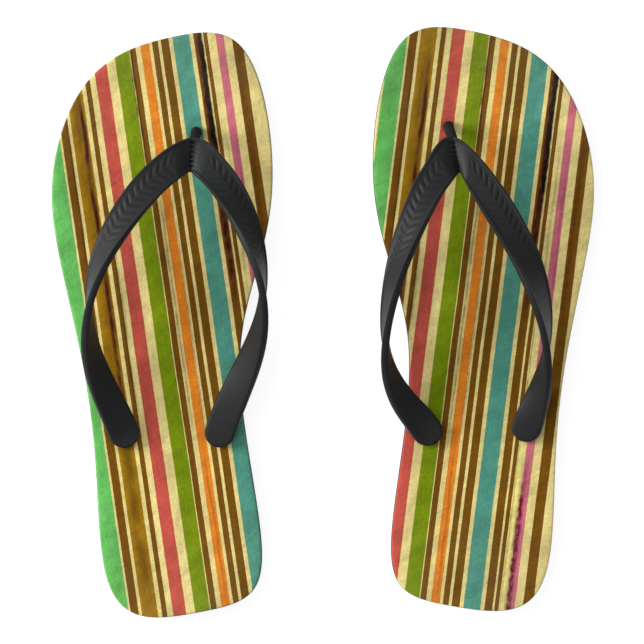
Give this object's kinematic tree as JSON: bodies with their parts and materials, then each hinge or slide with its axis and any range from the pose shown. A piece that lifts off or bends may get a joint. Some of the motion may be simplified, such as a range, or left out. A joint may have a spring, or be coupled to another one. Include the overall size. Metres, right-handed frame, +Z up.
{
  "type": "flip flops",
  "caption": "Pair of flip flops: flexible layered soles with a striped fabric footbed, and one-piece rubber Y straps held by a toe post and two rear stems.",
  "frame": {"origin": "on the floor under the middle of the pair's box", "axes": "+Z up, +Y from the heels to the toes, +X to the wearer's right"},
  "size_m": [0.2546, 0.2772, 0.0532],
  "materials": {
    "outsole_rubber": "matte, with cross grooves",
    "midsole_foam": "matte foam skin",
    "printed_fabric": "matte knit with printed stripes",
    "strap_rubber": "satin, ribbed on the outer face",
    "plug_rubber": "matte"
  },
  "bodies": {
    "left_rear": {"left_rear_outsole": "outsole_rubber", "left_rear_midsole": "midsole_foam", "left_rear_footbed": "printed_fabric", "left_strap": "strap_rubber", "left_outer_plug": "plug_rubber", "left_inner_plug": "plug_rubber"},
    "left_forefoot": {"left_forefoot_outsole": "outsole_rubber", "left_forefoot_midsole": "midsole_foam", "left_forefoot_footbed": "printed_fabric", "left_toe_plug": "plug_rubber"},
    "right_rear": {"right_rear_outsole": "outsole_rubber", "right_rear_midsole": "midsole_foam", "right_rear_footbed": "printed_fabric", "right_strap": "strap_rubber", "right_outer_plug": "plug_rubber", "right_inner_plug": "plug_rubber"},
    "right_forefoot": {"right_forefoot_outsole": "outsole_rubber", "right_forefoot_midsole": "midsole_foam", "right_forefoot_footbed": "printed_fabric", "right_toe_plug": "plug_rubber"}
  },
  "joints": [
    {"name": "left_toe_flex", "type": "hinge", "parent": "left_rear", "child": "left_forefoot", "pos_m": [-0.0699, 0.02668, 0.015], "axis": [0.9441, 0.3297, 0], "range_deg": [0, 35], "stiffness_Nm_per_rad": 1.2, "deforming": ["left_strap"]},
    {"name": "right_lift", "type": "slide", "parent": "left_rear", "child": "right_rear", "axis": [0, 0, 1], "range_m": [0, 0.1]},
    {"name": "right_toe_flex", "type": "hinge", "parent": "right_rear", "child": "right_forefoot", "pos_m": [0.07058, 0.02955, 0.015], "axis": [0.9505, -0.3107, 0], "range_deg": [0, 35], "stiffness_Nm_per_rad": 1.2, "deforming": ["right_strap"]}
  ]
}
